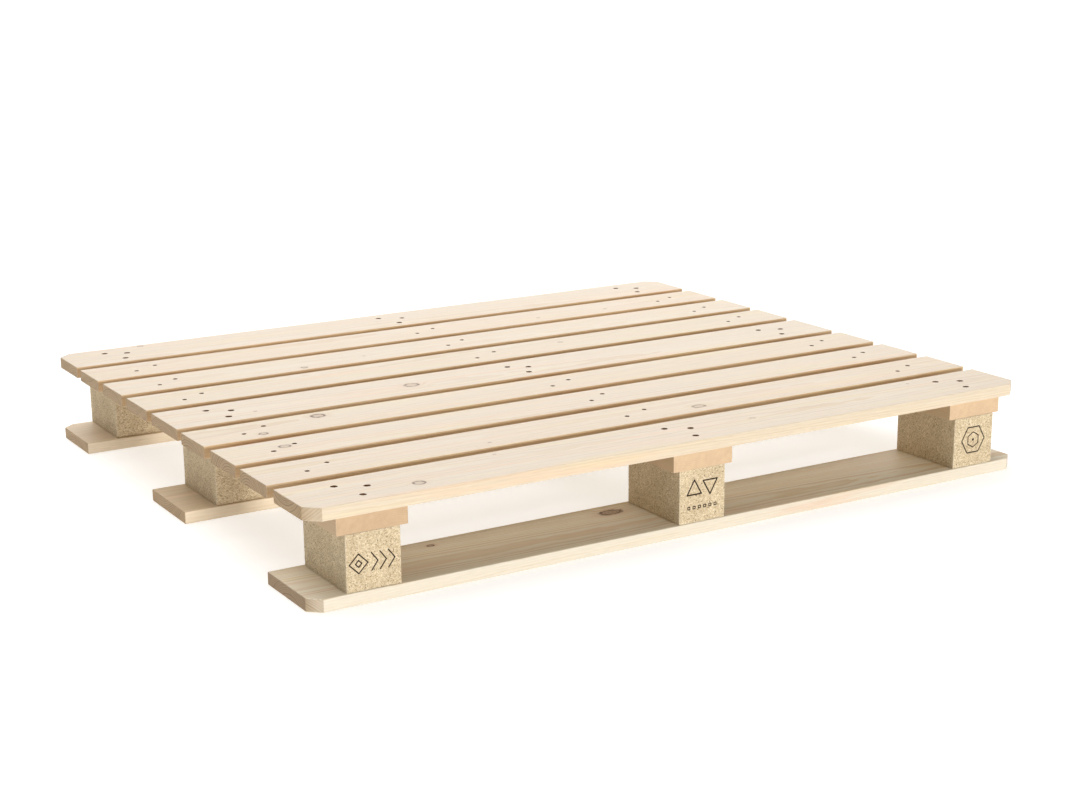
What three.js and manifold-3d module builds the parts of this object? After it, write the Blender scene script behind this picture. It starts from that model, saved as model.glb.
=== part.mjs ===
// Nine-block wooden pallet, 1200 x 1000 x 138 mm: nine deck boards, three stringer boards,
// nine pressed-chip blocks, three bottom boards and the nails that hold them together.
// Origin: bottom centre. +X runs along the deck boards, +Y across them, +Z up. Units: mm.
import * as THREE from 'three';
import { mergeVertices } from 'three/addons/utils/BufferGeometryUtils.js';
import Module from 'manifold-3d';

const wasm = await Module();
wasm.setup();

// Overall plan size
const LENGTH = 1200;
const WIDTH = 1000;

// Deck boards: a wide one over each row of blocks, and narrow ones between them
const DECK_THICK = 18;
const WIDE_DECK = 104;
const NARROW_DECK = 87;
const DECK_BOARDS = 9;
const WIDE_EVERY = 4;
const DECK_CORNER = { x: 20, y: 18 };

// Stringer boards: three across, under the deck boards
const STRINGER_WIDE = 100;
const STRINGER_THICK = 24;
const STRINGER_INSET = 2;
const STRINGER_PITCH = 510;

// Blocks: one row of three under each wide deck board
const BLOCK = { x: 78, y: 128, z: 78 };
const BLOCK_INSET = 3;

// Bottom boards: one under each row of blocks, the outer two with cut corners
const BOTTOM_WIDE = 134;
const BOTTOM_THICK = 18;
const BOTTOM_INSET = 2;
const BOTTOM_CORNER = { x: 18, y: 16 };

// Nails; dx and dy place one from the middle of its joint
const NAIL_SIDES = 8;
const HEAD_SINK = 1;
const FIT_GAP = 0.3;
const POCKET_OPEN = 2;
const BLOCK_NAIL = { shank: 2, head: 4.5, headThick: 1.6, long: 90, point: 5, dx: -16.5, dy: 22 };
const BOTTOM_NAIL = { shank: 2, head: 4.25, headThick: 1.6, long: 70, point: 5, dx: 17, dy: -22 };
const CLINCH_NAIL = { shank: 1.55, head: 3.4, headThick: 1.2, dx: -18.5, dy: -11 };
const CLINCH_TAIL = { long: 13, point: 4 };

// Heights of the layers
const BLOCK_LOW = BOTTOM_THICK;
const STRINGER_LOW = BLOCK_LOW + BLOCK.z;
const DECK_LOW = STRINGER_LOW + STRINGER_THICK;
const NAIL_TOP = DECK_LOW + DECK_THICK - HEAD_SINK;

const COLUMNS = ['left', 'middle', 'right'];
const ROWS = ['front', 'centre', 'back'];

const deckWood = new THREE.MeshStandardMaterial({ color: 0xe8d6b4, roughness: 0.75, metalness: 0 });
const stringerWood = new THREE.MeshStandardMaterial({ color: 0xd8b893, roughness: 0.8, metalness: 0 });
const baseWood = new THREE.MeshStandardMaterial({ color: 0xdfc79c, roughness: 0.8, metalness: 0 });
const pressedChip = new THREE.MeshStandardMaterial({ color: 0xb9a489, roughness: 0.95, metalness: 0 });
const nailSteel = new THREE.MeshStandardMaterial({ color: 0x5a4b40, roughness: 0.5, metalness: 0.9 });

// ---- Shapes ----

// A solid ready for joining and cutting, from a closed geometry
function toSolid(geometry) {
  const bare = geometry.clone();
  bare.deleteAttribute('normal');
  bare.deleteAttribute('uv');
  const merged = mergeVertices(bare);
  const corners = merged.index.array;
  const kept = [];
  for (let i = 0; i < corners.length; i += 3) {
    const [a, b, c] = corners.slice(i, i + 3);
    if (a !== b && b !== c && c !== a) {
      kept.push(a, b, c);
    }
  }
  const vertProperties = merged.attributes.position.array;
  return new wasm.Manifold(new wasm.Mesh({ numProp: 3, vertProperties, triVerts: Uint32Array.from(kept) }));
}

function toGeometry(solid) {
  const shape = solid.getMesh();
  const geometry = new THREE.BufferGeometry();
  geometry.setAttribute('position', new THREE.BufferAttribute(shape.vertProperties, shape.numProp));
  geometry.setIndex(new THREE.BufferAttribute(shape.triVerts, 1));
  geometry.computeVertexNormals();
  return geometry;
}

// A turned shape about the Z axis; profile holds [radius, height] pairs from the bottom up
function turned(profile) {
  const points = profile.map(([radius, height]) => new THREE.Vector2(radius, height));
  return new THREE.LatheGeometry(points, NAIL_SIDES).rotateX(Math.PI / 2);
}

// A board lying along X, centred on the origin, with both ends of one long edge cut at a slant
function corneredBoard(wide, thick, side, corner) {
  const x = LENGTH / 2;
  const y = wide / 2;
  const outline = new THREE.Shape();
  outline.moveTo(-x, -side * y);
  outline.lineTo(x, -side * y);
  outline.lineTo(x, side * (y - corner.y));
  outline.lineTo(x - corner.x, side * y);
  outline.lineTo(-x + corner.x, side * y);
  outline.lineTo(-x, side * (y - corner.y));
  outline.closePath();
  const board = new THREE.ExtrudeGeometry(outline, { depth: thick, bevelEnabled: false });
  return board.translate(0, 0, -thick / 2);
}

// side is -1 or 1 for the long edge with cut corners, or 0 for square corners
function longBoard(wide, thick, side, corner) {
  return side === 0 ? new THREE.BoxGeometry(LENGTH, wide, thick) : corneredBoard(wide, thick, side, corner);
}

// A straight nail with its head at the top, the top of the head at z = 0
function straightNail(kind) {
  return turned([
    [0, -kind.long],
    [kind.shank, kind.point - kind.long],
    [kind.shank, -kind.headThick],
    [kind.head, -kind.headThick],
    [kind.head, 0],
    [0, 0],
  ]);
}

// The space a nail takes in the wood: a gap all round it and a pocket over its head
function nailSpace(kind, long) {
  const bore = kind.shank + FIT_GAP;
  const pocket = kind.head + FIT_GAP;
  const shoulder = -kind.headThick - FIT_GAP;
  const open = HEAD_SINK + POCKET_OPEN;
  return toSolid(turned([
    [0, -long],
    [bore, -long],
    [bore, shoulder],
    [pocket, shoulder],
    [pocket, open],
    [0, open],
  ]));
}

// A nail whose tip is bent over flat; depth is how far the bent tail lies below the top of the head
function clinchNail(kind, depth) {
  const shaft = turned([
    [0, -depth],
    [kind.shank, -depth],
    [kind.shank, -kind.headThick],
    [kind.head, -kind.headThick],
    [kind.head, 0],
    [0, 0],
  ]);
  const tail = turned([
    [0, 0],
    [kind.shank, 0],
    [kind.shank, CLINCH_TAIL.long - CLINCH_TAIL.point],
    [0, CLINCH_TAIL.long],
  ]);
  tail.rotateY(Math.PI / 2).translate(0, 0, -depth);
  const elbow = new THREE.SphereGeometry(kind.shank, NAIL_SIDES, NAIL_SIDES / 2).translate(0, 0, -depth);
  return toGeometry(toSolid(shaft).add(toSolid(elbow)).add(toSolid(tail)));
}

// ---- Layout ----

// Middles and widths of the deck boards, front to back, with equal gaps
function deckLayout() {
  const widths = [];
  for (let i = 0; i < DECK_BOARDS; i += 1) {
    widths.push(i % WIDE_EVERY === 0 ? WIDE_DECK : NARROW_DECK);
  }
  const gap = (WIDTH - widths.reduce((sum, wide) => sum + wide, 0)) / (DECK_BOARDS - 1);
  const boards = [];
  let edge = -WIDTH / 2;
  for (const wide of widths) {
    boards.push({ y: edge + wide / 2, wide });
    edge += wide + gap;
  }
  return boards;
}

// Three evenly spaced rows whose outer edges stop short of the pallet's sides
function rowLayout(deep, inset) {
  const outer = WIDTH / 2 - inset - deep / 2;
  return [-outer, 0, outer];
}

const deckRows = deckLayout();
const columnX = [-STRINGER_PITCH, 0, STRINGER_PITCH];
const blockY = rowLayout(BLOCK.y, BLOCK_INSET);
const bottomY = rowLayout(BOTTOM_WIDE, BOTTOM_INSET);

// ---- Nails, and the holes they leave in the wood ----

const pallet = new THREE.Group();
pallet.name = 'wooden_pallet';
const holes = [];

function addMesh(group, name, geometry, material, position) {
  const mesh = new THREE.Mesh(geometry, material);
  mesh.name = name;
  mesh.position.copy(position);
  group.add(mesh);
  return mesh;
}

const nails = new THREE.Group();
pallet.add(nails);

const clinchDepth = NAIL_TOP - STRINGER_LOW + FIT_GAP + CLINCH_NAIL.shank;
const clinchHole = NAIL_TOP - STRINGER_LOW + POCKET_OPEN;
const topSpace = nailSpace(BLOCK_NAIL, BLOCK_NAIL.long + FIT_GAP);
const clinchSpace = nailSpace(CLINCH_NAIL, clinchHole);
const bottomSpace = nailSpace(BOTTOM_NAIL, BOTTOM_NAIL.long + FIT_GAP).rotate([180, 0, 0]);

for (const [c, x] of columnX.entries()) {
  const column = COLUMNS[c];
  for (const [i, board] of deckRows.entries()) {
    const overBlock = i % WIDE_EVERY === 0;
    const kind = overBlock ? BLOCK_NAIL : CLINCH_NAIL;
    const place = new THREE.Vector3(x + kind.dx, board.y + kind.dy, NAIL_TOP);
    if (overBlock) {
      const row = ROWS[i / WIDE_EVERY];
      addMesh(nails, `block_nail_${column}_${row}`, straightNail(kind), nailSteel, place);
      holes.push(topSpace.translate(place.toArray()));
    } else {
      const shape = clinchNail(kind, clinchDepth);
      const nail = addMesh(nails, `clinch_nail_${column}_${i + 1}`, shape, nailSteel, place);
      nail.rotation.z = (c + i) % 2 === 0 ? 0 : Math.PI;
      holes.push(clinchSpace.translate(place.toArray()));
    }
  }
  for (const [r, y] of bottomY.entries()) {
    const place = new THREE.Vector3(x + BOTTOM_NAIL.dx, y + BOTTOM_NAIL.dy, HEAD_SINK);
    const shape = straightNail(BOTTOM_NAIL);
    const nail = addMesh(nails, `bottom_nail_${column}_${ROWS[r]}`, shape, nailSteel, place);
    nail.rotation.x = Math.PI;
    holes.push(bottomSpace.translate(place.toArray()));
  }
}
const allHoles = wasm.Manifold.union(holes);

// A piece of wood with its share of the nail holes
function addWood(group, name, geometry, material, x, y, z) {
  const place = new THREE.Vector3(x, y, z);
  const local = allHoles.translate(place.clone().negate().toArray());
  addMesh(group, name, toGeometry(toSolid(geometry).subtract(local)), material, place);
}

// ---- Wood ----

const deck = new THREE.Group();
const stringers = new THREE.Group();
const blocks = new THREE.Group();
const base = new THREE.Group();
pallet.add(deck, stringers, blocks, base);

for (const [i, board] of deckRows.entries()) {
  const side = Number(i === DECK_BOARDS - 1) - Number(i === 0);
  const shape = longBoard(board.wide, DECK_THICK, side, DECK_CORNER);
  addWood(deck, `deck_board_${i + 1}`, shape, deckWood, 0, board.y, DECK_LOW + DECK_THICK / 2);
}

for (const [c, x] of columnX.entries()) {
  const shape = new THREE.BoxGeometry(STRINGER_WIDE, WIDTH - 2 * STRINGER_INSET, STRINGER_THICK);
  addWood(stringers, `stringer_${COLUMNS[c]}`, shape, stringerWood, x, 0, STRINGER_LOW + STRINGER_THICK / 2);
  for (const [r, y] of blockY.entries()) {
    const block = new THREE.BoxGeometry(BLOCK.x, BLOCK.y, BLOCK.z);
    addWood(blocks, `block_${COLUMNS[c]}_${ROWS[r]}`, block, pressedChip, x, y, BLOCK_LOW + BLOCK.z / 2);
  }
}

for (const [r, y] of bottomY.entries()) {
  const shape = longBoard(BOTTOM_WIDE, BOTTOM_THICK, r - 1, BOTTOM_CORNER);
  addWood(base, `bottom_board_${ROWS[r]}`, shape, baseWood, 0, y, BOTTOM_THICK / 2);
}

export default pallet;
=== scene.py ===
"""Looks of a nine-block wooden pallet: sawn softwood boards with growth rings and knots,
pressed-chip blocks with burned marks, and ninety nails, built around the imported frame.
Sizes here are in millimetres, with x, y, z as in the frame, unless a name says otherwise."""

import math
import random

import bmesh
import bpy
from mathutils import Euler, Matrix, Vector, noise


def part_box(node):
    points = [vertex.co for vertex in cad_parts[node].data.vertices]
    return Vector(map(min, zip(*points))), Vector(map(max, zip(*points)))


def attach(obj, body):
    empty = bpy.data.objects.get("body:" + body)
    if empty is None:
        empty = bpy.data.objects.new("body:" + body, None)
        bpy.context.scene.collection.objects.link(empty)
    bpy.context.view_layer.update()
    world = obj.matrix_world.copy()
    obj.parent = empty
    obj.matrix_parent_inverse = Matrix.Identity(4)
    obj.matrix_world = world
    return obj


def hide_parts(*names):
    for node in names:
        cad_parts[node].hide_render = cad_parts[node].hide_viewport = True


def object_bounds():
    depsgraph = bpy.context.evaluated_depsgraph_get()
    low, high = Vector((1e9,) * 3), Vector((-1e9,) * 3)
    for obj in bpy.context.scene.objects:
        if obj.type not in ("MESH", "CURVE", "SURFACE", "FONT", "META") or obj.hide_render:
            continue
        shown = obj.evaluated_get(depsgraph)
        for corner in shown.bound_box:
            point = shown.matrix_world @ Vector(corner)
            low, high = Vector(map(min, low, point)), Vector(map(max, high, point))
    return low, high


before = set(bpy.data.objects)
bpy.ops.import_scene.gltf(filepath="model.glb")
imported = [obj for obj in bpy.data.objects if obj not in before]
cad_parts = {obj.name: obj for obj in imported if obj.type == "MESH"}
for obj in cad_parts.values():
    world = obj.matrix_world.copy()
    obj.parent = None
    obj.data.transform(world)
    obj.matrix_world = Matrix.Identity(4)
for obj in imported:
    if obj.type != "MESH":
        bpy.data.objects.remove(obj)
CAD_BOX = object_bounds()
BODY = "root"
MM = 0.001
COLUMNS = ("left", "middle", "right")
ROWS = ("front", "centre", "back")

# Camera, lights and floor
CAMERA_AT_M = (-1.4956, -2.5405, 0.8458)
CAMERA_TURN = 31.09
CAMERA_DOWN = 14.62
CAMERA_ROLL = -0.47
LENS = 63.05
SENSOR = 36.0
TOP_LIGHT = {"strength": 2.35, "height": 66.0, "turn": -176.0, "spread": 60.0}
FRONT_LIGHT = {"strength": 1.9, "height": 5.5, "turn": 4.0, "spread": 10.0}
TOP_COLOUR = (1.0, 1.0, 1.05)
FILL_COLOUR = (1.0, 0.98, 0.95)
CARD_AT_M = (2.3, 3.9, 1.2)
CARD_M = (4.0, 1.3)
CARD_POWER = 44.0
SKY_COLOUR = (1.0, 0.985, 0.94)
SKY_STRENGTH = 0.38
FLOOR_COLOUR = (0.55, 0.55, 0.55)
FLOOR_GLOW = 0.6
FLOOR_GLOW_COLOUR = (1.0, 0.985, 0.945)
FLOOR_DROP = 0.5
FLOOR_M = 80.0

# Boards
DECK_BOARDS = 9
ARRIS = 1.3
ARRIS_STEPS = 4
END_EASE = 0.6
STATION = 12.0
ACROSS_STEPS = 10
EDGE_WANDER = 0.35
CUP = 0.25
END_TRIM = (-0.6, 1.6)
DECK_CUT = (20.0, 18.0)
BOTTOM_CUT = (18.0, 16.0)
BOARD_SHARP = 26
OVER_ROWS = {1: "front", 5: "centre", 9: "back"}

# Nails: spots around the middle of each joint, and sizes of the three kinds
BLOCK_SPOTS = ((-16.5, 22.0), (17.5, 4.0), (0.0, -28.0))
SLAT_SPOTS = ((-18.5, -11.0), (20.5, 10.0))
BOTTOM_SPOTS = ((17.0, -22.0), (-18.0, -4.0), (0.0, 28.0))
SPOT_WANDER = 1.6
HEAD_SINK = 1.1
HOLE_GAP = 0.05
BLOCK_NAIL = {"shank": 2.0, "head": 4.5, "long": 90.0}
SLAT_NAIL = {"shank": 1.55, "head": 3.4, "long": 0.0}
BOTTOM_NAIL = {"shank": 2.0, "head": 4.25, "long": 70.0}
HEAD_WANDER = 0.25
BEND_WANDER = 0.5
BOTTOM_HEAD_SINK = HEAD_SINK + 0.3
NAIL_SIDES = 20
NAIL_SHARP = 35
CRATER_SIDES = 24
CRATER_DEEP = 2.6
CRATER_RAGGED = 0.22
CRATER_STRETCH = (1.0, 1.1)

# Blocks: cell sizes of the mesh, worn edges and the burned marks
CHIP_STEP = 1.7
MARK_STEP = 0.7
BLOCK_EDGE = 1.0
BLOCK_CRUMBLE = 1.1
BURN_DEPTH = 0.6
BURN_FADE = 0.9
WORN_WIDE = 3.5

# Wood colours
EARLY_WOOD = (0.740, 0.650, 0.530)
LATE_WOOD = (0.630, 0.470, 0.310)
PINK_STREAK = (0.80, 0.60, 0.44)
YELLOW_STREAK = (0.78, 0.68, 0.42)
END_LATE_SHARE = (0.42, 0.34, 0.25)
KNOT_HALO = (0.56, 0.38, 0.25)
KNOT_DARK = (0.22, 0.14, 0.09)
KNOT_LIGHT = (0.43, 0.315, 0.22)
KNOT_RIM = (0.11, 0.065, 0.038)

# Pressed chip colours
CHIP_TONES = (
    (0.0, (0.22, 0.14, 0.07)),
    (0.09, (0.50, 0.385, 0.235)),
    (0.35, (0.63, 0.51, 0.335)),
    (0.75, (0.74, 0.62, 0.43)),
    (1.0, (0.92, 0.81, 0.62)),
)
CHIP_SPECK = (0.20, 0.13, 0.075)
CHIP_PIT = (0.06, 0.04, 0.025)
CHIP_FRAYED = (0.80, 0.72, 0.57)
SCORCH = (0.30, 0.19, 0.10)
CHAR = (0.032, 0.022, 0.017)

rng = random.Random(11)


# ---------------------------------------------------------------- camera, lights, floor


def make_camera():
    data = bpy.data.cameras.new("camera")
    data.lens = LENS
    data.sensor_width = SENSOR
    camera = bpy.data.objects.new("camera", data)
    bpy.context.scene.collection.objects.link(camera)
    aim = Euler((math.radians(90 - CAMERA_DOWN), 0, math.radians(-CAMERA_TURN))).to_matrix().to_4x4()
    roll = Matrix.Rotation(math.radians(CAMERA_ROLL), 4, "Z")
    camera.matrix_world = Matrix.Translation(CAMERA_AT_M) @ aim @ roll
    bpy.context.scene.camera = camera


def make_lights():
    world = bpy.data.worlds.new("studio")
    world.use_nodes = True
    sky = world.node_tree.nodes["Background"]
    sky.inputs["Color"].default_value = (*SKY_COLOUR, 1)
    sky.inputs["Strength"].default_value = SKY_STRENGTH
    bpy.context.scene.world = world
    suns = (("top", TOP_LIGHT, TOP_COLOUR), ("front", FRONT_LIGHT, FILL_COLOUR))
    for name, setting, colour in suns:
        lamp = add_light(name, "SUN", setting["strength"], colour)
        lamp.data.angle = math.radians(setting["spread"])
        lamp.rotation_euler = (math.radians(90 - setting["height"]), 0, math.radians(setting["turn"]))
    card = add_light("card", "AREA", CARD_POWER, SKY_COLOUR)
    card.data.shape = "RECTANGLE"
    card.data.size, card.data.size_y = CARD_M
    card.location = CARD_AT_M
    card.rotation_euler = (-Vector(CARD_AT_M)).to_track_quat("-Z", "Y").to_euler()
    bpy.context.scene.view_settings.view_transform = "Standard"


def add_light(name, kind, energy, colour):
    light = bpy.data.objects.new(name, bpy.data.lights.new(name, kind))
    light.data.energy = energy
    light.data.color = colour
    bpy.context.scene.collection.objects.link(light)
    return light


def make_floor():
    n = Nodes("floor")
    n.put(n.shader.inputs["Base Color"], FLOOR_COLOUR)
    n.put(n.shader.inputs["Roughness"], 0.9)
    n.put(n.shader.inputs["Emission Color"], FLOOR_GLOW_COLOUR)
    n.put(n.shader.inputs["Emission Strength"], FLOOR_GLOW)
    half = FLOOR_M / 2
    low = CAD_BOX[0][2] - FLOOR_DROP * MM
    corners = [(-half, -half, low), (half, -half, low), (half, half, low), (-half, half, low)]
    mesh = bpy.data.meshes.new("floor")
    mesh.from_pydata(corners, [], [(0, 1, 2, 3)])
    mesh.materials.append(n.material)
    floor = bpy.data.objects.new("floor", mesh)
    bpy.context.scene.collection.objects.link(floor)


# ---------------------------------------------------------------- node writer


class Nodes:
    """A small writer for a material's node tree. Arguments are sockets or plain values."""

    def __init__(self, name):
        self.material = bpy.data.materials.new(name)
        self.material.use_nodes = True
        self.tree = self.material.node_tree
        self.shader = self.tree.nodes.get("Principled BSDF")

    def put(self, socket, value):
        if isinstance(value, bpy.types.NodeSocket):
            self.tree.links.new(value, socket)
        elif value is not None:
            plain = (*value, 1) if socket.type == "RGBA" and len(value) == 3 else value
            socket.default_value = plain

    def node(self, kind, **settings):
        made = self.tree.nodes.new("ShaderNode" + kind)
        for key, value in settings.items():
            setattr(made, key, value)
        return made

    def feed(self, made, *values):
        for socket, value in zip(made.inputs, values):
            self.put(socket, value)
        return made

    def math(self, operation, *values):
        return self.feed(self.node("Math", operation=operation), *values).outputs[0]

    def vector(self, operation, a, b):
        made = self.node("VectorMath", operation=operation)
        self.put(made.inputs[0], a)
        self.put(made.inputs["Scale" if operation == "SCALE" else 1], b)
        return made.outputs["Vector"]

    def split(self, vector):
        return self.feed(self.node("SeparateXYZ"), vector).outputs

    def join(self, x, y, z):
        return self.feed(self.node("CombineXYZ"), x, y, z).outputs[0]

    def smooth(self, value, low, high, to_low=0.0, to_high=1.0):
        made = self.node("MapRange", interpolation_type="SMOOTHSTEP")
        return self.feed(made, value, low, high, to_low, to_high).outputs[0]

    def noise(self, at, scale=1.0, detail=2.0, rough=0.5):
        made = self.node("TexNoise")
        self.put(made.inputs["Vector"], at)
        self.put(made.inputs["Scale"], scale)
        self.put(made.inputs["Detail"], detail)
        self.put(made.inputs["Roughness"], rough)
        return made.outputs

    def cells(self, at, scale):
        made = self.node("TexVoronoi")
        self.put(made.inputs["Vector"], at)
        self.put(made.inputs["Scale"], scale)
        return made.outputs

    def mix(self, amount, a, b, blend="MIX"):
        made = self.node("Mix", data_type="RGBA", blend_type=blend, clamp_factor=True)
        self.put(made.inputs[0], amount)
        self.put(made.inputs[6], a)
        self.put(made.inputs[7], b)
        return made.outputs[2]

    def ramp(self, value, stops):
        made = self.node("ValToRGB")
        elements = made.color_ramp.elements
        while len(elements) < len(stops):
            elements.new(0.5)
        for element, (place, colour) in zip(elements, stops):
            element.position = place
            element.color = (*colour, 1)
        self.put(made.inputs[0], value)
        return made.outputs[0]

    def finish(self, colour, roughness, height, distance, specular):
        bump = self.node("Bump")
        self.put(bump.inputs["Strength"], 1.0)
        self.put(bump.inputs["Distance"], distance)
        self.put(bump.inputs["Height"], height)
        self.put(self.shader.inputs["Base Color"], colour)
        self.put(self.shader.inputs["Roughness"], roughness)
        self.put(self.shader.inputs["Specular IOR Level"], specular)
        self.put(self.shader.inputs["Normal"], bump.outputs[0])
        return self.material


# ---------------------------------------------------------------- wood


def softwood(name, middle, log, knots=(), along="X"):
    """Sawn spruce. The growth rings are cylinders around the log's pith, so the faces, edges
    and ends of a board agree. middle is the board's centre; a knot is (x, y, long, wide, dark)."""
    n = Nodes(name)
    coord = n.node("TexCoord")
    at = n.vector("SUBTRACT", n.vector("SCALE", coord.outputs["Object"], 1 / MM), tuple(middle))
    x, y, z = n.split(at)
    u, v = (x, y) if along == "X" else (y, x)
    facing = n.split(coord.outputs["Normal"])["XYZ".index(along)]
    end = n.smooth(n.math("ABSOLUTE", facing), 0.45, 0.95)
    sideways = n.split(coord.outputs["Normal"])["YXZ".index(along)]
    edge = n.smooth(n.math("ABSOLUTE", sideways), 0.6, 0.9)

    # The log: wavy stem, slanted pith, rings that widen and narrow
    seed = log["seed"] * 37.0

    def stretched(long, wide, high):
        first = n.math("MULTIPLY_ADD", u, long, seed)
        return n.join(first, n.math("MULTIPLY", v, wide), n.math("MULTIPLY", z, high))

    slow = stretched(0.0022, 0.011, 0.011)
    sway = n.vector("SUBTRACT", n.noise(slow, 1.0, 2.0)["Color"], (0.5, 0.5, 0.5))
    sway_v, sway_z = n.split(n.vector("SCALE", sway, log["sway"]))[:2]
    rough_at = stretched(0.02, 0.09, 0.09)
    ripple = n.math("MULTIPLY_ADD", n.noise(rough_at, 1.0, 1.0)["Fac"], 2.2, -1.1)
    pith_v, pith_z = log["pith"]
    from_v = n.math("ADD", n.math("MULTIPLY_ADD", u, log["slope"], n.math("ADD", v, -pith_v)), sway_v)
    from_z = n.math("ADD", n.math("ADD", z, -pith_z), n.math("ADD", sway_z, ripple))
    squares = n.math("MULTIPLY_ADD", from_v, from_v, n.math("MULTIPLY", from_z, from_z))
    radius = n.math("MULTIPLY_ADD", u, log["taper"], n.math("SQRT", squares))

    knot_fields = []
    for knot_x, knot_y, long, wide, dark in knots:
        off_u = n.math("MULTIPLY", n.math("ADD", x, middle[0] - knot_x), 1 / long)
        off_v = n.math("MULTIPLY", n.math("ADD", y, middle[1] - knot_y), 1 / wide)
        off = n.math("MULTIPLY_ADD", off_u, off_u, n.math("MULTIPLY", off_v, off_v))
        swell = n.math("EXPONENT", n.math("MULTIPLY", off, -0.32))
        radius = n.math("MULTIPLY_ADD", swell, wide * 0.9, radius)
        knot_fields.append((n.math("SQRT", off), dark))

    beat = n.noise(n.join(n.math("MULTIPLY_ADD", radius, 0.06, seed), 0.0, 0.0), 1.0, 1.0)["Fac"]
    turns = n.math("MULTIPLY_ADD", radius, 1 / log["spacing"], n.math("MULTIPLY", beat, 3.0))
    phase = n.math("FRACT", turns)
    late = n.math("MULTIPLY", n.smooth(phase, 0.25, 0.9), n.smooth(phase, 1.0, 0.92))
    white = n.node("TexWhiteNoise", noise_dimensions="1D")
    n.put(white.inputs["W"], n.math("FLOOR", turns))
    strength = n.math("MULTIPLY_ADD", white.outputs["Value"], 0.75, 0.25)
    late = n.math("MULTIPLY", late, strength)

    # Colour: pale early wood, tan late wood, slow pink and yellow streaks, fine fibres
    tone = log["tone"]
    early = tuple(a * b for a, b in zip(EARLY_WOOD, tone))
    tan = tuple(a * b for a, b in zip(LATE_WOOD, tone))
    rings = n.math("MULTIPLY_ADD", edge, log["edge_rings"] - log["contrast"], log["contrast"])
    colour = n.mix(n.math("MULTIPLY", late, rings), early, tan)
    streak = n.noise(stretched(0.003, 0.07, 0.05), 1.0, 3.0, 0.6)
    colour = n.mix(n.smooth(streak["Fac"], 0.52, 0.72, 0.0, 0.55), colour, PINK_STREAK)
    hue = n.split(streak["Color"])[1]
    colour = n.mix(n.smooth(hue, 0.5, 0.7, 0.0, 0.35), colour, YELLOW_STREAK)
    across_fibre = n.math("MULTIPLY_ADD", v, 1.3, seed)
    fibre_at = n.join(n.math("MULTIPLY", u, 0.03), across_fibre, n.math("MULTIPLY", z, 1.3))
    fibre = n.noise(fibre_at, 1.0, 4.0, 0.65)["Fac"]
    shade = n.ramp(fibre, ((0.25, (0.86, 0.83, 0.79)), (0.75, (1.05, 1.06, 1.07))))
    colour = n.mix(1.0, colour, shade, "MULTIPLY")

    # The side faces take the log's edge colour: a slight tint on most logs, painted shade on the deck
    # boards and stringers, painted light on the bottom boards
    colour = n.mix(edge, colour, n.mix(1.0, colour, log["edge"], "MULTIPLY"))

    # End grain is darker and browner, with stronger rings
    end_late = tuple(a * b for a, b in zip(log["end"], END_LATE_SHARE))
    sawn = n.mix(n.math("MULTIPLY", late, log["end_rings"]), log["end"], end_late)
    patches = n.noise(at, 0.11, 4.0, 0.65)["Fac"]
    mottle = n.ramp(patches, ((0.3, (0.93, 0.92, 0.90)), (0.7, (1.04, 1.04, 1.03))))
    sawn = n.mix(1.0, n.mix(1.0, sawn, shade, "MULTIPLY"), mottle, "MULTIPLY")
    colour = n.mix(end, colour, sawn)

    # Knots: a dark rim, rings of their own, a warm halo
    wobble = n.math("MULTIPLY_ADD", n.noise(at, 0.22, 2.0)["Fac"], 0.36, -0.18)
    broken = n.smooth(n.noise(at, 0.13, 1.0)["Fac"], 0.38, 0.56, 0.5, 1.0)
    for field, dark in knot_fields:
        near = n.math("ADD", field, wobble)
        halo = n.smooth(near, 2.8, 0.9, 0.0, 0.45 * dark)
        colour = n.mix(halo, colour, KNOT_HALO)
        heart = n.math("MULTIPLY_ADD", n.math("SINE", n.math("MULTIPLY", near, 19.0)), 0.5, 0.5)
        inside = n.mix(heart, KNOT_DARK, KNOT_LIGHT)
        colour = n.mix(n.smooth(near, 1.06, 0.92, 0.0, 0.12 + 0.8 * dark * dark), colour, inside)
        from_rim = n.math("ABSOLUTE", n.math("ADD", near, -1.0))
        rim = n.smooth(from_rim, 0.32, 0.10, 0.0, min(1.0, 1.7 * dark))
        rim = n.math("MULTIPLY", rim, broken)
        colour = n.mix(rim, colour, KNOT_RIM)

    saw_at = n.join(n.math("MULTIPLY", u, 0.8), n.math("MULTIPLY", v, 0.02), n.math("MULTIPLY", z, 0.02))
    saw = n.noise(saw_at, 1.0, 2.0)["Fac"]
    height = n.math("MULTIPLY_ADD", fibre, 0.6, n.math("MULTIPLY", late, 0.35))
    height = n.math("MULTIPLY_ADD", saw, log["saw"], height)
    roughness = n.math("MULTIPLY_ADD", fibre, 0.25, 0.42)
    return n.finish(colour, roughness, height, 0.25 * MM, 0.45)


def bruised_wood():
    """Wall of a nail hole: fibres crushed and stained by the nail."""
    n = Nodes("bruised_wood")
    at = n.vector("SCALE", n.node("TexCoord").outputs["Object"], 1 / MM)
    grain = n.noise(n.vector("MULTIPLY", at, (0.25, 1.6, 1.6)), 1.0, 3.0, 0.6)["Fac"]
    stains = ((0.3, (0.10, 0.055, 0.03)), (0.55, (0.23, 0.13, 0.07)), (0.8, (0.42, 0.28, 0.17)))
    colour = n.ramp(grain, stains)
    return n.finish(colour, 0.8, grain, 0.4 * MM, 0.2)


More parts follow.
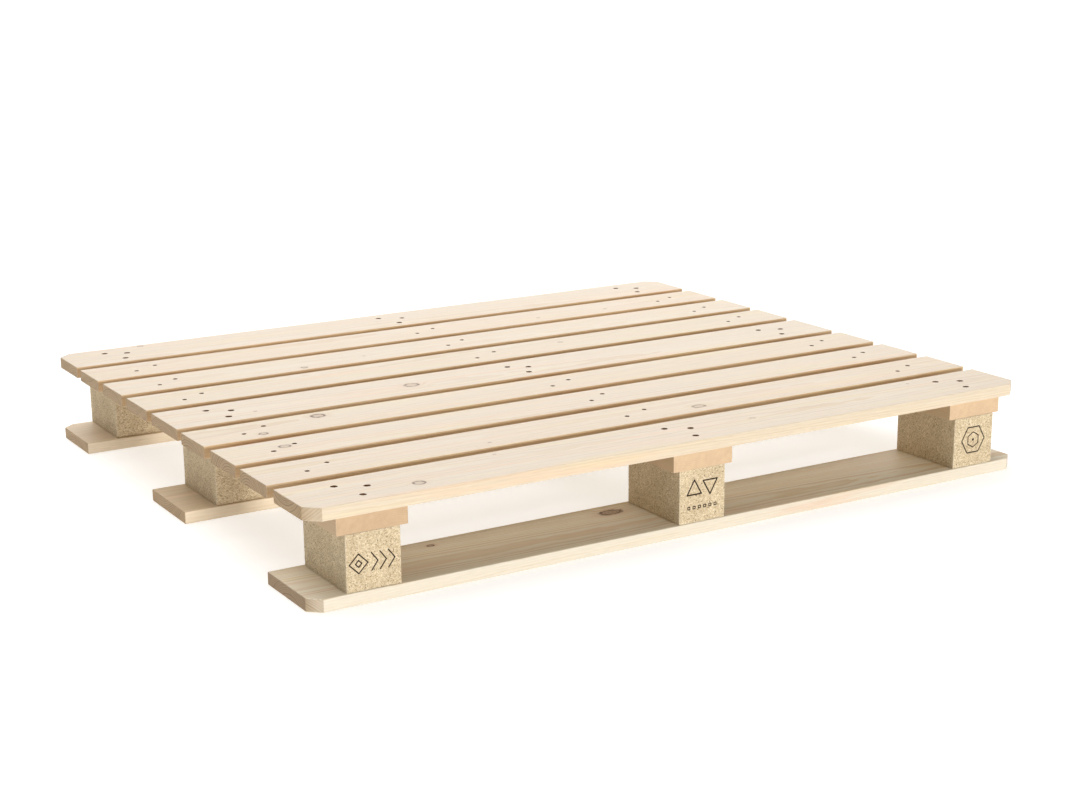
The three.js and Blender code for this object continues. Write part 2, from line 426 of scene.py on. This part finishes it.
def pressed_chip():
    """Wood chips pressed with glue: flakes of every tone, dark specks and open pits.
    The mesh attribute burn turns it to char."""
    n = Nodes("pressed_chip")
    coord = n.node("TexCoord")
    at = n.vector("SCALE", coord.outputs["Object"], 1 / MM)
    bent = n.vector("ADD", at, n.vector("SCALE", n.noise(at, 0.3, 2.0)["Color"], 2.5))
    flakes = n.cells(n.vector("MULTIPLY", bent, (0.6, 1.0, 0.75)), 0.92)
    crumbs = n.cells(bent, 1.6)
    pick = n.split(flakes["Color"])
    small = n.split(crumbs["Color"])
    colour = n.mix(0.35, n.ramp(pick[0], CHIP_TONES), n.ramp(small[1], CHIP_TONES))
    cloud = n.noise(at, 0.035, 2.0)["Fac"]
    clouded = n.ramp(cloud, ((0.3, (0.93, 0.91, 0.88)), (0.7, (1.05, 1.05, 1.04))))
    colour = n.mix(1.0, colour, clouded, "MULTIPLY")
    speck = n.noise(at, 0.95, 3.0, 0.6)["Fac"]
    colour = n.mix(n.smooth(speck, 0.59, 0.65, 0.0, 0.85), colour, CHIP_SPECK)
    pit = n.smooth(n.noise(at, 0.42, 1.0)["Fac"], 0.725, 0.75)
    colour = n.mix(pit, colour, CHIP_PIT)
    worn = n.node("Attribute", attribute_name="worn").outputs["Fac"]
    loose = n.math("MULTIPLY_ADD", n.noise(at, 0.5, 3.0)["Fac"], 2.2, worn)
    frayed = n.smooth(loose, 1.75, 2.2, 0.0, 0.6)
    colour = n.mix(frayed, colour, CHIP_FRAYED)

    burn = n.node("Attribute", attribute_name="burn").outputs["Fac"]
    ragged = n.math("MULTIPLY_ADD", n.noise(at, 1.4, 2.0)["Fac"], 0.7, -0.35)
    charred = n.smooth(n.math("ADD", burn, ragged), 0.3, 0.62)
    scorch = n.smooth(burn, 0.02, 0.5, 0.0, 0.5)
    colour = n.mix(scorch, colour, SCORCH)
    colour = n.mix(charred, colour, CHAR)

    height = n.math("MULTIPLY_ADD", pick[2], 0.6, n.math("MULTIPLY", small[0], 0.5))
    height = n.math("MULTIPLY_ADD", pit, -2.5, height)
    height = n.math("SUBTRACT", height, n.math("MULTIPLY", flakes["Distance"], 0.4))
    return n.finish(colour, 0.85, height, 0.35 * MM, 0.15)


def nail_steel():
    """Matt rusty steel."""
    n = Nodes("nail_steel")
    at = n.vector("SCALE", n.node("TexCoord").outputs["Object"], 1 / MM)
    scale = n.noise(at, 0.9, 4.0, 0.6)["Fac"]
    rusts = ((0.3, (0.05, 0.021, 0.007)), (0.55, (0.11, 0.047, 0.015)), (0.8, (0.22, 0.105, 0.04)))
    colour = n.ramp(scale, rusts)
    roughness = n.smooth(scale, 0.3, 0.8, 0.8, 0.6)
    return n.finish(colour, roughness, n.noise(at, 2.4, 2.0)["Fac"], 0.08 * MM, 0.02)


# ---------------------------------------------------------------- mesh tools


def add_piece(name, mesh, slot, *replaced):
    piece = bpy.data.objects.new(name, mesh)
    bpy.context.scene.collection.objects.link(piece)
    for polygon in mesh.polygons:
        polygon.use_smooth = True
    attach(piece, BODY)
    if replaced:
        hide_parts(*replaced)
    return piece


def mesh_from(name, points, faces, materials):
    """A mesh from points in millimetres."""
    mesh = bpy.data.meshes.new(name)
    mesh.from_pydata([Vector(p) * MM for p in points], [], faces)
    for material in materials:
        mesh.materials.append(material)
    return mesh


def face_outward(mesh):
    work = bmesh.new()
    work.from_mesh(mesh)
    bmesh.ops.recalc_face_normals(work, faces=work.faces)
    work.to_mesh(mesh)
    work.free()


def node_box(node):
    low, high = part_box(node)
    return low / MM, high / MM


def rings_to_faces(count, sides):
    """Faces of a closed tube made of count rings of points with sides points in each."""
    faces = []
    for ring in range(count - 1):
        for k in range(sides):
            a = ring * sides + k
            b = ring * sides + (k + 1) % sides
            faces.append((a, b, b + sides, a + sides))
    faces.append(tuple(reversed(range(sides))))
    faces.append(tuple(range((count - 1) * sides, count * sides)))
    return faces


def turned(profile, sides, middle, wander=0.0, seed=0.0, flip=False):
    """Points and faces of a lathed shape. profile holds (radius, height) pairs."""
    points = []
    way = -1.0 if flip else 1.0
    for radius, high in profile:
        for k in range(sides):
            angle = way * math.tau * k / sides
            ragged = noise.noise(Vector((math.cos(angle) * 2, math.sin(angle) * 2, seed)))
            r = radius * (1 + wander * ragged)
            x = middle[0] + r * math.cos(angle)
            y = middle[1] + r * math.sin(angle)
            points.append((x, y, middle[2] + way * high))
    return points, rings_to_faces(len(profile), sides)


# ---------------------------------------------------------------- boards


def board_outline(wide, thick):
    """Points around a board's cross-section with eased edges, as (across, up) pairs."""
    half_y = wide / 2 - ARRIS
    half_z = thick / 2 - ARRIS
    outline = []
    for side_y, side_z, start in ((1, -1, -90), (1, 1, 0), (-1, 1, 90), (-1, -1, 180)):
        for step in range(ARRIS_STEPS + 1):
            angle = math.radians(start + 90 * step / ARRIS_STEPS)
            across = side_y * half_y + ARRIS * math.cos(angle)
            outline.append((across, side_z * half_z + ARRIS * math.sin(angle)))
        if side_z == side_y:
            for step in range(1, ACROSS_STEPS):
                outline.append((side_y * half_y * (1 - 2 * step / ACROSS_STEPS), side_z * thick / 2))
    return outline


def board_points(node, cut_side, cut, seed, along):
    """Cross-sections along a board, with cut corners, uneven ends and slightly wandering edges."""
    low, high = node_box(node)
    middle = (low + high) / 2
    size = high - low
    long, wide, thick = (size.x, size.y, size.z) if along == "X" else (size.y, size.x, size.z)
    outline = board_outline(wide, thick)
    half = long / 2
    stations = {-half, -half + END_EASE, half - END_EASE, half, -half + cut[0], half - cut[0]}
    count = int(long / STATION)
    stations |= {-half + long * i / count for i in range(1, count)}
    trims = (rng.uniform(*END_TRIM), rng.uniform(*END_TRIM))
    points = []
    for s in sorted(stations):
        inset = END_EASE if half - abs(s) < END_EASE / 2 else 0.0
        slant = max(0.0, abs(s) - half + cut[0]) / cut[0] if cut_side else 0.0
        trim = trims[0] if s < 0 else -trims[1]
        shift = s + trim * max(0.0, (abs(s) - half * 0.9) / (half * 0.1))
        for across, up in outline:
            out = across * (1 - 2 * inset / wide)
            if cut_side:
                outer = cut_side * wide / 2
                out = -outer + (out + outer) * (1 - slant * cut[1] / wide)
            rise = up * (1 - 2 * inset / thick)
            wander = noise.noise(Vector((s * 0.006, seed, math.copysign(4.0, across))))
            out += EDGE_WANDER * wander * abs(across) / (wide / 2)
            rise += CUP * noise.noise(Vector((s * 0.004, across * 0.02, seed + 9)))
            place = (shift, out, rise) if along == "X" else (out, shift, rise)
            points.append(Vector(place) + middle)
    return points, len(outline)


def make_board(node, material, slot, craters, cut_side=0, cut=DECK_CUT, along="X"):
    points, sides = board_points(node, cut_side, cut, rng.uniform(0, 90), along)
    faces = rings_to_faces(len(points) // sides, sides)
    mesh = mesh_from(node + "_wood", points, faces, (material, bruised))
    face_outward(mesh)
    board = add_piece(node + "_wood", mesh, slot, node)
    if craters:
        cut_craters(board, craters)
    board.data.set_sharp_from_angle(angle=math.radians(BOARD_SHARP))


def crater_profile(radius, deep):
    return (
        (radius * 0.98, -deep),
        (radius, -deep * 0.5),
        (radius * 1.02, -0.05),
        (radius * 1.1, 1.2),
    )


def cut_craters(board, craters):
    """Cuts the mouth of each nail hole, with a torn rim. A crater is (x, y, z, radius, deep, way)."""
    points = []
    faces = []
    for x, y, z, radius, deep, way in craters:
        shape = crater_profile(radius, deep)
        more, loops = turned(shape, CRATER_SIDES, (x, y, z), CRATER_RAGGED, x + y * 3.1, way < 0)
        stretch = rng.uniform(*CRATER_STRETCH)
        more = [(x + (px - x) * stretch, py, pz) for px, py, pz in more]
        faces += [tuple(len(points) + k for k in loop) for loop in loops]
        points += more
    mesh = mesh_from("craters", points, faces, board.data.materials)
    face_outward(mesh)
    for polygon in mesh.polygons:
        polygon.material_index = 1
    cutter = bpy.data.objects.new("craters", mesh)
    bpy.context.scene.collection.objects.link(cutter)
    step = board.modifiers.new("craters", "BOOLEAN")
    step.operation = "DIFFERENCE"
    step.object = cutter
    step.solver = "EXACT"
    bpy.context.view_layer.update()
    shown = board.evaluated_get(bpy.context.evaluated_depsgraph_get())
    board.data = bpy.data.meshes.new_from_object(shown)
    board.modifiers.clear()
    bpy.data.objects.remove(cutter)
    for polygon in board.data.polygons:
        polygon.use_smooth = True


# ---------------------------------------------------------------- blocks


def loop_lines(x, z, radius, corners, turn, half):
    """A closed outline with equal sides, as lines (x0, z0, x1, z1, half width)."""
    spots = []
    for k in range(corners + 1):
        angle = math.radians(turn) + math.tau * k / corners
        spots.append((x + radius * math.cos(angle), z + radius * math.sin(angle)))
    return [(*a, *b, half) for a, b in zip(spots, spots[1:])]


def chevron(x, z, wide, tall, half):
    return [(x, z + tall / 2, x + wide, z, half), (x + wide, z, x, z - tall / 2, half)]


def burned_marks(column):
    """Plain generic marks, in millimetres from the middle of the block's front face."""
    if column == "left":
        lines = loop_lines(-21.0, -2.0, 13.0, 4, 0, 0.75) + loop_lines(-21.0, -2.0, 4.5, 4, 0, 0.75)
        for k in range(3):
            lines += chevron(-3.0 + 12.0 * k, -2.0, 9.0, 24.0, 0.75)
        return lines
    if column == "middle":
        lines = loop_lines(-13.5, 9.0, 14.0, 3, 90, 0.95) + loop_lines(13.5, 13.0, 14.0, 3, -90, 0.95)
        for k in range(6):
            lines += loop_lines(-22.5 + 9.0 * k, -17.0, 2.6, 4, 45, 0.6)
        return lines
    lines = loop_lines(0.0, 2.0, 23.0, 6, 0, 0.85) + loop_lines(0.0, 2.0, 12.0, 6, 30, 0.7)
    return lines + [(0.0, 2.0, 0.0, 2.0, 2.0)]


def line_distance(x, z, line):
    x0, z0, x1, z1, half = line
    along_x = x1 - x0
    along_z = z1 - z0
    span = along_x * along_x + along_z * along_z
    t = 0.0 if span == 0 else max(0.0, min(1.0, ((x - x0) * along_x + (z - z0) * along_z) / span))
    return math.hypot(x - x0 - t * along_x, z - z0 - t * along_z) - half


def grid_box(work, size, steps):
    """A closed box of square cells, centred on the origin."""
    spots = {}

    def corner(i, j, k):
        key = (i, j, k)
        if key not in spots:
            share = [Vector((i / steps[0], j / steps[1], k / steps[2]))[a] - 0.5 for a in range(3)]
            spots[key] = work.verts.new([share[a] * size[a] for a in range(3)])
        return spots[key]

    for axis in range(3):
        b, c = (axis + 1) % 3, (axis + 2) % 3
        for at_end in (0, steps[axis]):
            for p in range(steps[b]):
                for q in range(steps[c]):
                    cell = []
                    for dp, dq in ((0, 0), (1, 0), (1, 1), (0, 1)):
                        key = [0, 0, 0]
                        key[axis] = at_end
                        key[b] = p + dp
                        key[c] = q + dq
                        cell.append(corner(*key))
                    work.faces.new(cell if at_end else cell[::-1])


def make_block(column, row, material):
    node = f"block_{column}_{row}"
    low, high = node_box(node)
    middle = (low + high) / 2
    size = high - low
    lines = burned_marks(column) if row == "front" else []
    fine = MARK_STEP if lines else CHIP_STEP
    steps = (round(size.x / fine), round(size.y / CHIP_STEP), round(size.z / fine))
    work = bmesh.new()
    grid_box(work, size, steps)
    burn = work.verts.layers.float.new("burn")
    worn_edge = work.verts.layers.float.new("worn")
    half = size / 2
    seed = rng.uniform(0, 500)
    for vert in work.verts:
        p = vert.co.copy()
        shift = Vector((seed, 0, 0))
        crumble = noise.noise(p * 0.12 + shift) + noise.noise(p * 0.5 + shift)
        worn = BLOCK_EDGE + BLOCK_CRUMBLE * max(0.0, crumble)
        inner = Vector([max(-half[a] + worn, min(half[a] - worn, p[a])) for a in range(3)])
        out = (p - inner).normalized()
        rounded = inner + out * worn
        flaky = 0.22 * noise.noise(p * 0.9 + shift) + 0.16 * noise.noise(p * 2.1 + shift) - 0.2
        scorched = 0.0
        if lines and p.y < -half.y + 0.01:
            nearest = min(line_distance(p.x, p.z, line) for line in lines)
            scorched = max(0.0, min(1.0, 0.5 - nearest / BURN_FADE))
        vert[burn] = scorched
        gaps = sorted(half[a] - abs(p[a]) for a in range(3))
        vert[worn_edge] = max(0.0, 1.0 - gaps[1] / WORN_WIDE)
        vert.co = rounded + out * (flaky - BURN_DEPTH * scorched)
    bmesh.ops.translate(work, verts=work.verts, vec=middle)
    bmesh.ops.scale(work, verts=work.verts, vec=(MM, MM, MM))
    mesh = bpy.data.meshes.new(node + "_chip")
    work.to_mesh(mesh)
    work.free()
    mesh.materials.append(material)
    add_piece(node + "_chip", mesh, "pressed_chip", node)


# ---------------------------------------------------------------- nails


def head_profile(shank, head):
    """From the top middle of the head down to the shank."""
    return [
        (0.02, 0.0),
        (head * 0.55, -0.02),
        (head * 0.9, -0.12),
        (head, -0.4),
        (head * 0.98, -1.1),
        (head * 0.75, -1.5),
        (shank * 1.3, -2.3),
        (shank, -3.2),
    ]


def straight_nail(kind, place, flip):
    """Flat head, plain neck, ringed shank and a cut point."""
    shank = kind["shank"]
    tip = -kind["long"]
    profile = head_profile(shank, kind["head"])
    depth = -12.0
    while depth > tip + 12.0:
        profile += [(shank, depth), (shank * 1.09, depth - 1.4), (shank, depth - 1.6)]
        depth -= 2.0
    profile += [(shank, tip + 6.0), (shank * 0.8, tip + 3.0), (0.05, tip)]
    return turned(profile, NAIL_SIDES, place, flip=flip)


def clinched_nail(kind, place, under, turn):
    """A slim nail whose tip comes out under the stringer and is hammered over flat."""
    shank = kind["shank"]
    points = turned(head_profile(shank, kind["head"]), NAIL_SIDES, place)[0]
    bend = 2.4
    route = [(0.0, place[2] - 8.0), (0.0, under + 1.0)]
    for step in range(1, 6):
        angle = math.radians(84 * step / 5)
        route.append((bend * (1 - math.cos(angle)), under + 1.0 - bend * math.sin(angle)))
    for reach in (3.0, 7.0, 9.5, 11.5):
        route.append((bend + reach, under - 1.5 + 0.06 * reach))
    sizes = [shank] * 8 + [shank * 0.98, shank * 0.7, 0.15]
    way = Vector((math.cos(turn), math.sin(turn), 0))
    side = Vector((-math.sin(turn), math.cos(turn), 0))
    for i, ((reach, z), size) in enumerate(zip(route, sizes)):
        after = route[min(i + 1, len(route) - 1)]
        before = route[max(i - 1, 0)]
        heading = math.atan2(after[0] - before[0], before[1] - after[1])
        across = way * math.cos(heading) + Vector((0, 0, math.sin(heading)))
        centre = Vector((place[0], place[1], z)) + way * reach
        for k in range(NAIL_SIDES):
            angle = math.tau * k / NAIL_SIDES - turn
            points.append(centre + size * (across * math.cos(angle) + side * math.sin(angle)))
    count = len(points) // NAIL_SIDES
    return points, rings_to_faces(count, NAIL_SIDES)


def make_nails(name, shapes, replaced):
    points = []
    faces = []
    for more, loops in shapes:
        faces += [tuple(len(points) + k for k in loop) for loop in loops]
        points += more
    mesh = mesh_from(name, points, faces, (steel,))
    face_outward(mesh)
    add_piece(name, mesh, "nail_steel", replaced)
    mesh.set_sharp_from_angle(angle=math.radians(NAIL_SHARP))


# ---------------------------------------------------------------- the pallet

# Logs, one for each board. pith is where the log's heart lies from the board's middle, spacing
# the width of a ring, tone the board's tint, end the colour of the ends and edge the colour of the
# sides; edge holds painted shade or painted light on some boards, and the front bottom board's tone
# holds painted light
DECK_LOGS = (
    {"pith": (10, 56), "slope": 0.020, "spacing": 3.4, "tone": (1.00, 1.00, 1.00)},
    {"pith": (8, -30), "slope": 0.015, "spacing": 3.8, "tone": (1.01, 1.00, 0.99)},
    {"pith": (-42, -34), "slope": 0.030, "spacing": 3.5, "tone": (1.01, 1.01, 1.01)},
    {"pith": (30, -60), "slope": -0.025, "spacing": 3.6, "tone": (1.00, 0.99, 0.97)},
    {"pith": (-20, -85), "slope": 0.030, "spacing": 2.6, "tone": (1.01, 1.01, 1.02)},
    {"pith": (35, 80), "slope": -0.020, "spacing": 2.4, "tone": (1.00, 1.00, 0.98)},
    {"pith": (-15, -70), "slope": 0.035, "spacing": 3.0, "tone": (1.01, 1.01, 1.00)},
    {"pith": (20, 95), "slope": 0.020, "spacing": 2.7, "tone": (1.01, 0.99, 0.97)},
    {"pith": (-35, -75), "slope": -0.015, "spacing": 2.9, "tone": (1.01, 1.00, 1.00)},
)
DECK_KNOTS = {
    1: (
        (-429, -470, 8, 7, 0.45),
        (124, -447, 4, 3, 0.25),
        (-283, -409, 2.0, 1.6, 0.5),
        (448, -413, 2, 1.6, 0.4),
    ),
    2: ((99, -350, 10, 7, 0.4), (-259, -354, 2.2, 1.6, 0.5)),
    3: ((-505, -218, 8, 6.5, 0.45),),
    4: ((-504, -142, 6, 5, 0.5), (-398, -94, 10, 8.5, 0.6)),
    5: ((-198, -3, 11, 9, 0.45), (-465, -20, 2.2, 1.6, 0.5)),
    6: ((154, 127, 4, 3, 0.4),),
    7: ((-289, 195, 5, 4, 0.5), (-172, 217, 2, 1.6, 0.4)),
    8: ((225, 317, 2.5, 2, 0.5), (369, 318, 2.5, 2, 0.5)),
    9: ((-459, 490, 5, 4, 0.4),),
}
STRINGER_LOGS = (
    {"pith": (25, -70), "slope": 0.01, "spacing": 2.4, "tone": (0.98, 0.90, 0.84)},
    {"pith": (-30, 80), "slope": 0.02, "spacing": 2.6, "tone": (1.00, 0.93, 0.86)},
    {"pith": (15, 60), "slope": -0.02, "spacing": 2.2, "tone": (1.00, 0.94, 0.88)},
)
BOTTOM_LOGS = (
    # This front board's tone is lightened as painted light on its top, which lies in the deck's shade
    {"pith": (-25, -60), "slope": 0.03, "spacing": 3.0, "tone": (1.09, 1.16, 1.17)},
    {"pith": (20, 90), "slope": 0.02, "spacing": 3.2, "tone": (0.89, 0.84, 0.74)},
    {"pith": (10, -80), "slope": -0.02, "spacing": 3.3, "tone": (0.89, 0.84, 0.75)},
)
BOTTOM_KNOTS = {
    "front": ((-86, -395, 17, 9, 1.0), (-371, -386, 5, 3.5, 0.9), (42, -484, 4, 3, 0.4)),
    "centre": ((260, 22, 9, 7, 0.6),),
    "back": ((-180, 410, 8, 7, 0.6),),
}
LOG_USUAL = {
    "sway": 7.0,
    "taper": 0.006,
    "contrast": 0.6,
    "saw": 0.35,
    "edge": (1.0, 0.98, 0.93),
    "edge_rings": 0.6,
    "end": (0.455, 0.31, 0.16),
    "end_rings": 1.0,
}
# Deck side colour is painted shade: it darkens and browns the side faces seen down the gaps between
# boards
DECK_USUAL = {"edge": (0.88, 0.73, 0.54)}
# The stringers' side colour is painted shade: it darkens their side faces, which lie under the deck's
# overhang
STRINGER_USUAL = {"end": (0.66, 0.475, 0.30), "end_rings": 0.15, "edge": (0.80, 0.72, 0.58)}
# The bottom boards' side colour, above one, is painted light: it brightens their lit front faces against
# their tops in the deck's shade
BOTTOM_USUAL = {"edge": (1.2, 1.25, 1.34), "contrast": 0.7, "edge_rings": 0.4}
# The front deck board's front face is out in the light, so it gets a nearly plain side colour instead of
# the painted gap shade
FRONT_DECK = {"edge": (0.96, 0.94, 0.89)}
LEFT_STRINGER = {"end": (0.57, 0.40, 0.245)}
# On the front bottom board the side colour goes with its lightened tone, both painted light on its front
# face
FRONT_BOTTOM = {"contrast": 1.5, "end": (0.36, 0.24, 0.13), "edge": (0.96, 0.94, 0.96)}
STRINGER_SEED = 20
BOTTOM_SEED = 30


def log_values(seed, *layers):
    """The usual values of a log, with each layer of its own values put over them."""
    values = {**LOG_USUAL, "seed": seed}
    for layer in layers:
        values.update(layer)
    return values


def jittered(spots, x, y):
    """Nail places around a joint's middle, each with a small random wander."""
    places = []
    for dx, dy in spots:
        place_x = x + dx + rng.gauss(0, SPOT_WANDER)
        places.append((place_x, y + dy + rng.gauss(0, SPOT_WANDER)))
    return places


make_camera()
make_lights()
make_floor()

bruised = bruised_wood()
steel = nail_steel()
chip = pressed_chip()

column_boxes = {c: node_box(f"stringer_{c}") for c in COLUMNS}
column_x = {c: (low.x + high.x) / 2 for c, (low, high) in column_boxes.items()}
under = column_boxes["left"][0].z
deck_top = node_box("deck_board_1")[1].z

for i in range(1, DECK_BOARDS + 1):
    node = f"deck_board_{i}"
    low, high = node_box(node)
    middle_y = (low.y + high.y) / 2
    row = OVER_ROWS.get(i)
    kind = BLOCK_NAIL if row else SLAT_NAIL
    craters = []
    for c, column in enumerate(COLUMNS):
        spots = jittered(BLOCK_SPOTS if row else SLAT_SPOTS, column_x[column], middle_y)
        craters += [(x, y, deck_top, kind["head"] + HOLE_GAP, CRATER_DEEP, 1) for x, y in spots]
        shapes = []
        for x, y in spots:
            place = (x, y, deck_top - HEAD_SINK + rng.uniform(-HEAD_WANDER, HEAD_WANDER))
            if row:
                shapes.append(straight_nail(kind, place, False))
            else:
                turn = rng.uniform(-BEND_WANDER, BEND_WANDER) + math.pi * ((c + i) % 2)
                shapes.append(clinched_nail(kind, place, under, turn))
        cad = f"block_nail_{column}_{row}" if row else f"clinch_nail_{column}_{i}"
        make_nails(cad + "_set", shapes, cad)
    sides = FRONT_DECK if i == 1 else DECK_USUAL
    log = log_values(i, sides, DECK_LOGS[i - 1])
    wood = softwood(node + "_wood", (low + high) / 2, log, DECK_KNOTS.get(i, ()))
    cut_side = (i == DECK_BOARDS) - (i == 1)
    make_board(node, wood, "deck_wood", craters, cut_side, DECK_CUT)

for c, column in enumerate(COLUMNS):
    node = f"stringer_{column}"
    low, high = column_boxes[column]
    own = LEFT_STRINGER if column == "left" else {}
    log = log_values(STRINGER_SEED + c, STRINGER_USUAL, STRINGER_LOGS[c], own)
    wood = softwood(node + "_wood", (low + high) / 2, log, along="Y")
    make_board(node, wood, "stringer_wood", [], along="Y")
    for row in ROWS:
        make_block(column, row, chip)

for r, row in enumerate(ROWS):
    node = f"bottom_board_{row}"
    low, high = node_box(node)
    middle_y = (low.y + high.y) / 2
    craters = []
    for column in COLUMNS:
        spots = jittered(BOTTOM_SPOTS, column_x[column], middle_y)
        mouth = BOTTOM_NAIL["head"] + HOLE_GAP
        craters += [(x, y, low.z, mouth, CRATER_DEEP, -1) for x, y in spots]
        sunk = low.z + BOTTOM_HEAD_SINK
        shapes = [straight_nail(BOTTOM_NAIL, (x, y, sunk), True) for x, y in spots]
        make_nails(f"bottom_nail_{column}_{row}_set", shapes, f"bottom_nail_{column}_{row}")
    own = FRONT_BOTTOM if row == "front" else {}
    log = log_values(BOTTOM_SEED + r, BOTTOM_USUAL, BOTTOM_LOGS[r], own)
    wood = softwood(node + "_wood", (low + high) / 2, log, BOTTOM_KNOTS[row])
    make_board(node, wood, "base_wood", craters, r - 1, BOTTOM_CUT)
